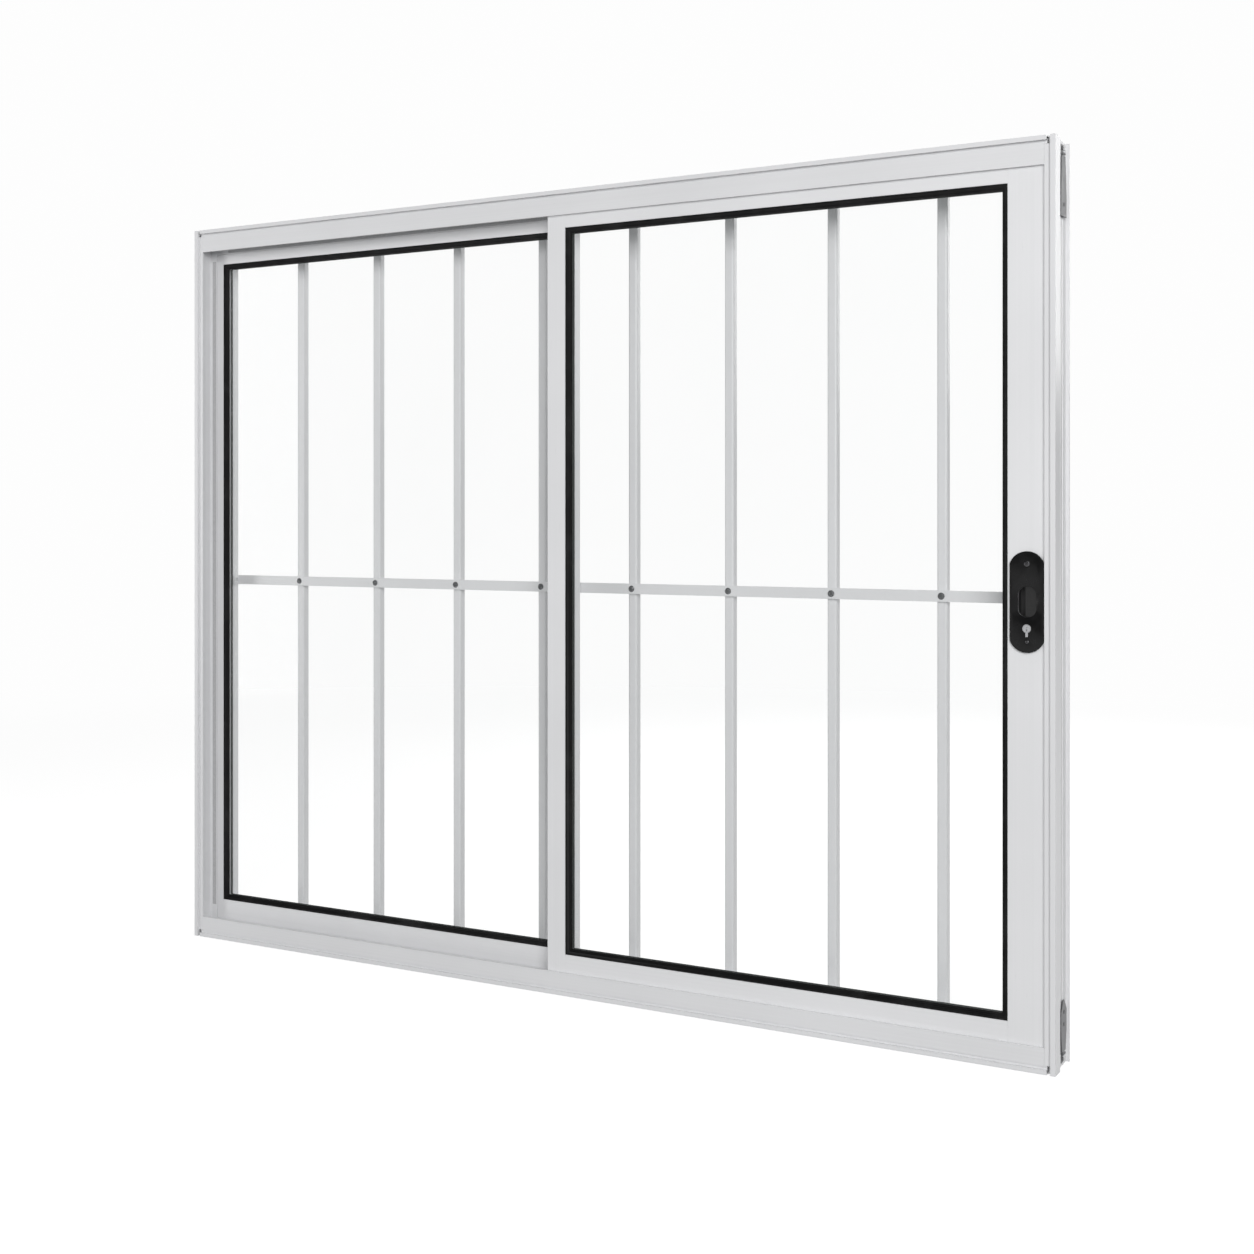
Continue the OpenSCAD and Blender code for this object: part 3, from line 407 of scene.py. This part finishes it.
tab_t = 3.0
tab_face = cross_high[0] - tab_t
tab_low, tab_high = from_box("tab_rivets")
tab_middle = (tab_low[1] + tab_high[1]) / 2
tab_master = blind_rivet(
    "rivet", head_r=3.0, head_h=1.4, shank_r=1.6, grip=4.5, tail_r=2.4, tail_h=1.4)
tab_rivets = set_copies(
    "tab_blind_rivets", tab_master,
    [(Vector((side * tab_face, tab_middle, cross_middle)) * MM, (-side, 0, 0), 0)
     for side in (-1, 1)])
tab_rivets.data.materials.append(screw_steel)
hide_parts("tab_rivets")
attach(tab_rivets, "outer_frame")

# ---------------------------------------------------------------------------
# Bar fixings: a pan-head screw through each end of every tube into the frame,
# and a moulded plug that closes the tube's end.

bar_head_r = 3.0
bar_head_h = 1.6
screw_low, screw_high = from_box("bar_end_screws")
bar_back = screw_high[1] - bar_head_h
end_heights = (screw_low[2] + bar_head_r, screw_high[2] - bar_head_r)
bar_screws = set_copies(
    "bar_end_pan_screws", pan_screw("screw", bar_head_r, bar_head_h, shank_r=1.5, shank_len=14),
    [(Vector((x, bar_back, height)) * MM, (0, 1, 0), 23 * index)
     for index, x in enumerate(bar_middles) for height in end_heights])
bar_screws.data.materials.append(screw_steel)
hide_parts("bar_end_screws")
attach(bar_screws, "outer_frame")


def moulded_plastic(name, tint, rough, grain_depth=0.3, edge=None):
    """Moulded plastic with a fine spark-eroded grain."""
    coat = Coat(name)
    grain = coat.noise(coat.place(), 1900.0, 2.0, 0.6)
    cloud = coat.noise(coat.place(), 35.0, 3.0)
    colour = coat.blend(cloud.between(0.35, 0.7), tint, tuple(c * 1.25 + 0.003 for c in tint))
    return coat.finish(
        Base_Color=colour,
        Roughness=cloud * 0.12 + grain * 0.06 + rough,
        Normal=coat.relief(grain, grain_depth, 0.00008, edge=edge),
    )


dress(moulded_plastic("cap_plastic", (0.03, 0.03, 0.032), 0.45, edge=0.0004), "bar_end_caps")

# ---------------------------------------------------------------------------
# Leaves: stiles and rails pressed from the same alloy, a hollow box with a glass
# pocket each, screwed together at the corners and coated white. The two meeting
# stiles carry hooks that grip each other when the window is shut.

LEAF_TINT = (0.82, 0.823, 0.835)
dress(powder_coat("leaf_white_upright", LEAF_TINT, 2),
      "right_meeting_stile", "right_lock_stile", "left_side_stile", "left_meeting_stile")
dress(powder_coat("leaf_white_level", LEAF_TINT, 0),
      "right_top_rail", "right_bottom_rail", "left_top_rail", "left_bottom_rail")
dress(screw_steel, "right_leaf_screws", "left_leaf_screws")

# ---------------------------------------------------------------------------
# Running gear: moulded guides on top of each leaf, and under it two carriages,
# each with a grooved nylon wheel on a steel axle that rolls on the sill's track.

dress(moulded_plastic("guide_plastic", (0.05, 0.05, 0.053), 0.5, edge=0.0004),
      "right_top_guides", "left_top_guides", "right_roller_carriages", "left_roller_carriages")
dress(screw_steel, "right_roller_axles", "left_roller_axles")
dress(moulded_plastic("wheel_nylon", (0.72, 0.71, 0.67), 0.38, 0.15),
      "right_wheel_a", "right_wheel_b", "left_wheel_a", "left_wheel_b")

# ---------------------------------------------------------------------------
# Glass: one clear float pane in each leaf, held by its rubber. It is almost
# invisible from the front, with a faint film and a green tinge.

pane = Coat("clear_glass")
film = pane.noise(pane.place(), 3.0, 4.0, 0.6)
clear_glass = pane.finish(
    Base_Color=(0.9, 0.96, 0.94),
    Roughness=film * 0.03 + 0.01,
    Alpha=film.between(0.35, 0.8) * 0.02 + 0.035,
    IOR=1.5,
)
clear_glass.surface_render_method = "BLENDED"
dress(clear_glass, "right_glass", "left_glass")

# ---------------------------------------------------------------------------
# Glazing rubber: a black extruded channel that wraps the edge of each pane and
# is mitred at its corners. A round bead runs along its outer edge and a thin
# wiping lip lies on the glass, in front and behind.


def black_rubber(name, tint, sheen_rough):
    """Extruded or moulded black rubber: satin, a little dusty."""
    coat = Coat(name)
    grain = coat.noise(coat.place(), 2200.0, 2.0)
    dust_film = coat.noise(coat.place(), 22.0, 4.0, 0.6)
    colour = coat.blend(dust_film.between(0.45, 0.75), tint, tuple(c * 2.4 + 0.006 for c in tint))
    return coat.finish(
        Base_Color=colour,
        Roughness=dust_film * 0.22 + grain * 0.08 + sheen_rough,
        Normal=coat.relief(grain, 0.35, 0.00008),
        Specular_IOR_Level=0.12,
    )


gasket_rubber = black_rubber("gasket_rubber", (0.004, 0.004, 0.0042), 0.3)
wall_t = 0.5
# Each ring inwards of the bead and lip: its width and its rise, in mm.
GASKET_STEPS = [(0.5, 0.25), (0.7, 0.05), (0.7, -0.35), (0.5, -1.0), (1.0, -0.75), (1.1, -1.1),
                (0.35, 0.3), (0.75, -0.2), (0.6, -0.9), (0.3, -1.2)]


def glazing_lip(name, low, high, depth, outward):
    """One side of the rubber, a sheet inset ring by ring and then given its wall."""
    clear_selection()
    bpy.ops.mesh.primitive_plane_add(size=1, rotation=(math.radians(90), 0, 0))
    lip = bpy.context.object
    lip.name = name
    lip.scale = ((high[0] - low[0]) * MM, (high[2] - low[2]) * MM, 1)
    lip.location = ((low[0] + high[0]) / 2 * MM, depth * MM, (low[2] + high[2]) / 2 * MM)
    bpy.ops.object.transform_apply(location=True, rotation=True, scale=True)
    bpy.ops.object.mode_set(mode="EDIT")
    bpy.ops.mesh.select_all(action="SELECT")
    for width, rise in GASKET_STEPS:
        bpy.ops.mesh.inset(thickness=width * MM, depth=0)
        bpy.ops.transform.translate(value=(0, outward * rise * MM, 0))
    bpy.ops.mesh.delete(type="ONLY_FACE")
    bpy.ops.mesh.select_all(action="SELECT")
    bpy.ops.mesh.normals_make_consistent(inside=False)
    bpy.ops.object.mode_set(mode="OBJECT")
    wall = lip.modifiers.new("wall", "SOLIDIFY")
    wall.thickness = wall_t * MM
    wall.offset = 0
    bpy.ops.object.modifier_apply(modifier="wall")
    bpy.ops.object.mode_set(mode="EDIT")
    bpy.ops.mesh.select_all(action="SELECT")
    bpy.ops.mesh.normals_make_consistent(inside=False)
    bpy.ops.object.mode_set(mode="OBJECT")
    bpy.ops.object.shade_smooth_by_angle(angle=math.radians(50))
    return lip


hidden_edge = 8.1
lip_inset = 0.45
for side in ("right", "left"):
    low, high = from_box(side + "_gasket")
    inner_low = [low[0] + hidden_edge, 0, low[2] + hidden_edge]
    inner_high = [high[0] - hidden_edge, 0, high[2] - hidden_edge]
    channel = joined(side + "_glazing_rubber", [
        glazing_lip("front_lip", inner_low, inner_high, low[1] + lip_inset, -1),
        glazing_lip("rear_lip", inner_low, inner_high, high[1] - lip_inset, 1)])
    channel.data.materials.append(gasket_rubber)
    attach(channel, side + "_leaf")
    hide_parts(side + "_gasket")

# ---------------------------------------------------------------------------
# Lock: a black moulded face plate with a scooped finger pocket, screwed through
# the stile's face to a case inside it. A slider in the pocket throws the hook,
# and a key barrel sits below.

lock_coat = Coat("lock_black")
swirl = lock_coat.noise(lock_coat.place(stretch=(1, 1, 0.25)), 900.0, 3.0, 0.6)
hand_film = lock_coat.noise(lock_coat.place(), 70.0, 4.0, 0.6)
lock_black = lock_coat.finish(
    Base_Color=lock_coat.blend(
        hand_film.between(0.4, 0.7), (0.003, 0.003, 0.0032), (0.007, 0.007, 0.0073)),
    Roughness=hand_film * 0.16 + swirl * 0.06 + 0.1,
    Normal=lock_coat.relief(swirl * 0.5 + hand_film, 0.12, 0.0001, edge=0.0003),
    Specular_IOR_Level=0.22,
)
plate_low, plate_high = from_box("lock_plate")
plate_x = (plate_low[0] + plate_high[0]) / 2
plate_z = (plate_low[2] + plate_high[2]) / 2
plate_half = (plate_high[0] - plate_low[0]) / 2
plate_tall = 109.0
plate_back = plate_high[1]
plate_front = plate_low[1]


def choose_points(piece, wanted):
    """Opens a piece for editing, with the points chosen whose place passes the test."""
    clear_selection()
    bpy.context.view_layer.objects.active = piece
    piece.select_set(True)
    bpy.ops.object.mode_set(mode="EDIT")
    bpy.ops.mesh.select_all(action="DESELECT")
    bpy.ops.object.mode_set(mode="OBJECT")
    for point in piece.data.vertices:
        point.select = wanted(point.co)
    bpy.ops.object.mode_set(mode="EDIT")


def long_round(name, half_width, height, near, far, near_grow=0.0, flat_at=None):
    """A block with round ends, standing in the XZ plane from depth near to depth far, in mm."""
    clear_selection()
    bpy.ops.mesh.primitive_circle_add(
        vertices=72, radius=half_width * MM, fill_type="NGON", rotation=(math.radians(90), 0, 0))
    block = bpy.context.object
    block.name = name
    bpy.ops.object.transform_apply(rotation=True)
    reach = (height / 2 - half_width) * MM
    hair = 1e-7
    for end in (-1, 1):
        choose_points(block, lambda place: place.z * end > hair)
        bpy.ops.transform.translate(value=(0, 0, end * reach))
        if flat_at:
            flat = end * flat_at * MM
            choose_points(block, lambda place: place.x * end > flat_at * MM)
            bpy.ops.transform.resize(value=(0, 1, 1), center_override=(flat, 0, 0))
    bpy.ops.mesh.select_all(action="SELECT")
    bpy.ops.transform.translate(value=(plate_x * MM, near * MM, plate_z * MM))
    bpy.ops.mesh.extrude_region_move(TRANSFORM_OT_translate={"value": (0, (far - near) * MM, 0)})
    if near_grow:
        bpy.ops.transform.resize(
            value=(1 + near_grow / half_width, 1, 1 + near_grow / (height / 2)),
            center_override=(plate_x * MM, far * MM, plate_z * MM))
    bpy.ops.mesh.select_all(action="DESELECT")
    bpy.ops.mesh.select_non_manifold()
    bpy.ops.mesh.edge_face_add()
    bpy.ops.mesh.select_all(action="SELECT")
    bpy.ops.mesh.normals_make_consistent(inside=False)
    bpy.ops.object.mode_set(mode="OBJECT")
    return block


def soften(piece, width):
    """Rounds a piece's sharp edges."""
    clear_selection()
    bpy.context.view_layer.objects.active = piece
    piece.select_set(True)
    rounding = piece.modifiers.new("rounding", "BEVEL")
    rounding.width = width * MM
    rounding.segments = 3
    rounding.limit_method = "ANGLE"
    rounding.angle_limit = math.radians(35)
    rounding.harden_normals = False
    bpy.ops.object.modifier_apply(modifier="rounding")
    bpy.ops.object.shade_smooth_by_angle(angle=math.radians(30))
    return piece


cut_over = 1.0
lock_face = long_round(
    "lock_face", half_width=19.2, height=plate_tall, near=plate_back, far=plate_front,
    flat_at=plate_half)
cut_away(lock_face, long_round(
    "scoop", half_width=9.9, height=34.4, near=plate_front + 2.1, far=plate_front - 0.6,
    near_grow=7.4))
cut_away(lock_face, long_round(
    "pocket", half_width=9.7, height=33.4, near=plate_back + cut_over, far=plate_front - cut_over))
soften(lock_face, 0.45)
screw_box_low, screw_box_high = from_box("plate_screws")
upper_head_r = 3.35
lower_head_r = 2.25
upper_z = screw_box_high[2] - upper_head_r
lower_z = screw_box_low[2] + lower_head_r
barrel_low, barrel_high = from_box("key_cylinder")
barrel_z = (barrel_low[2] + barrel_high[2]) / 2


def round_cutter(radius, height, near, far):
    """A round cutter along Y at the plate's middle line."""
    clear_selection()
    bpy.ops.mesh.primitive_cylinder_add(
        vertices=48, radius=radius * MM, depth=(far - near) * MM, rotation=(math.radians(90), 0, 0),
        location=(plate_x * MM, (near + far) / 2 * MM, height * MM))
    bpy.ops.object.transform_apply(location=True, rotation=True)
    return bpy.context.object


seat = plate_front + 1.1
seat_gap = 0.1
barrel_hole_r = 3.98
for radius, height in ((upper_head_r + seat_gap, upper_z), (lower_head_r + seat_gap, lower_z)):
    cut_away(lock_face, round_cutter(radius, height, plate_front - cut_over, seat))
cut_away(
    lock_face, round_cutter(barrel_hole_r, barrel_z, plate_front - cut_over, plate_back + cut_over))
lock_face.data.materials.clear()
lock_face.data.materials.append(lock_black)
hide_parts("lock_plate")
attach(lock_face, "right_leaf")

dress(moulded_plastic("case_plastic", (0.012, 0.012, 0.0125), 0.42), "lock_case")
dress(moulded_plastic("slider_black", (0.004, 0.004, 0.0042), 0.22), "pull_slider")
dress(plated_steel("hook_steel", (0.5, 0.505, 0.52), 0.26), "hook_bolt", "key_cam")
dress(plated_steel("cylinder_chrome", (0.5, 0.505, 0.52), 0.2, 3400.0), "key_cylinder", "key_trim")

black_plate = Coat("screw_black")
chips = black_plate.noise(black_plate.place(), 900.0, 4.0, 0.6)
worn = chips.between(0.6, 0.7)
screw_black = black_plate.finish(
    Base_Color=black_plate.blend(worn, (0.07, 0.07, 0.073), (0.2, 0.2, 0.205)),
    Metallic=0.9,
    Roughness=chips * 0.12 + 0.2,
    Normal=black_plate.relief(chips, 0.3, 0.00006),
)
upper_master = pan_screw("screw", head_r=3.3, head_h=1.4, shank_r=1.4, shank_len=11)
upper_screw = set_copies(
    "upper_screw", upper_master, [(Vector((plate_x, seat, upper_z)) * MM, (0, -1, 0), 28)])
lower_master = pan_screw("screw", head_r=2.2, head_h=1.2, shank_r=1.2, shank_len=11)
lower_screw = set_copies(
    "lower_screw", lower_master, [(Vector((plate_x, seat, lower_z)) * MM, (0, -1, 0), 8)])
plate_screws = joined("lock_plate_screws", [upper_screw, lower_screw])
plate_screws.data.materials.append(screw_black)
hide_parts("plate_screws")
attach(plate_screws, "right_leaf")

# ---------------------------------------------------------------------------
# Wall anchors: hot-dip galvanized steel straps, two a side, hinged on small feet
# riveted in the jambs' outer channel. The zinc has set in dull grey flakes.

zinc = Coat("galvanized")
flakes = zinc.cells(zinc.place(), 210.0)
flake_tone = zinc.add("ShaderNodeRGBToBW", None, {"Color": flakes})
stain = zinc.noise(zinc.place(), 90.0, 4.0, 0.6)
galvanized = zinc.finish(
    Base_Color=zinc.blend(flake_tone * 0.6 + stain * 0.4, (0.1, 0.1, 0.104), (0.24, 0.243, 0.25)),
    Metallic=0.85,
    Roughness=flake_tone * 0.14 + stain * 0.16 + 0.34,
    Normal=zinc.relief(stain + flake_tone * 0.2, 0.3, 0.0002, edge=0.0003),
)
dress(galvanized, "strap_upper_right", "strap_lower_right", "strap_upper_left",
      "strap_lower_left", "anchor_feet")

# ---------------------------------------------------------------------------
# Studio: a plain pale floor that runs out into the backdrop and glows with painted light,
# a broad soft light on the right in front, a weaker one on the left, and a level camera.

scene = bpy.context.scene
scene.view_settings.view_transform = "Standard"
world = bpy.data.worlds.new("studio")
scene.world = world
world.use_nodes = True
sky = world.node_tree
backdrop = sky.nodes["Background"]
backdrop.inputs["Color"].default_value = (1.0, 1.0, 1.0, 1)
backdrop.inputs["Strength"].default_value = 0.985
room = sky.nodes.new("ShaderNodeBackground")
room.inputs["Color"].default_value = (0.99, 0.995, 1.0, 1)
room.inputs["Strength"].default_value = 0.27
seen = sky.nodes.new("ShaderNodeLightPath")
either = sky.nodes.new("ShaderNodeMixShader")
sky.links.new(seen.outputs["Is Camera Ray"], either.inputs[0])
sky.links.new(room.outputs[0], either.inputs[1])
sky.links.new(backdrop.outputs[0], either.inputs[2])
sky.links.new(either.outputs[0], sky.nodes["World Output"].inputs["Surface"])

clear_selection()
bpy.ops.mesh.primitive_plane_add(size=60, location=(0, 0, -0.0005))
floor = bpy.context.object
floor.name = "studio_floor"
paper = Coat("studio_floor")
# The floor glows with painted light. Its emission rises from near the window out to the backdrop
# while its own colour fades to black, so it reads evenly lit far off.
distance = paper.add("ShaderNodeVectorMath", {"operation": "LENGTH"}, {0: paper.place()}, 1)
fibres = paper.noise(paper.place(), 60.0, 3.0)
painted_glow_far = distance.between(1.2, 4.0)
near_paper = paper.blend(fibres, (0.5, 0.5, 0.5), (0.52, 0.52, 0.52))
floor.data.materials.append(paper.finish(
    Base_Color=paper.blend(painted_glow_far, near_paper, (0.0, 0.0, 0.0)),
    Roughness=0.9,
    Specular_IOR_Level=0.0,
    Emission_Color=paper.blend(painted_glow_far, (0.73, 0.73, 0.73), (0.985, 0.985, 0.985)),
    Emission_Strength=1.0,
))
floor.visible_diffuse = False


def soft_light(name, place, aim, size, power):
    """An area light in m and W that faces its aim."""
    light = bpy.data.lights.new(name, "AREA")
    light.shape = "RECTANGLE"
    light.size, light.size_y = size
    light.energy = power
    lamp = bpy.data.objects.new(name, light)
    scene.collection.objects.link(lamp)
    lamp.location = place
    lamp.rotation_euler = (Vector(aim) - Vector(place)).to_track_quat("-Z", "Y").to_euler()


soft_light("key_light", (2.2, -3.0, 1.9), (0.2, 0, 0.5), (2.4, 2.0), 104)
soft_light("fill_light", (-2.8, -2.4, 0.75), (0, 0, 0.5), (0.8, 1.6), 20)
soft_light("back_light", (0.5, 3.0, 1.9), (0, 0, 0.5), (2.4, 2.0), 45)

camera = bpy.data.objects.new("camera", bpy.data.cameras.new("camera"))
scene.collection.objects.link(camera)
camera.location = (1.06552, -1.919882, 0.59167)
camera.rotation_euler = (math.pi / 2, 0, 0.551)
camera.data.sensor_width = 36
camera.data.lens = 50.04
camera.data.shift_x = 0.1013
camera.data.shift_y = -0.0864
camera.data.clip_end = 200
scene.camera = camera
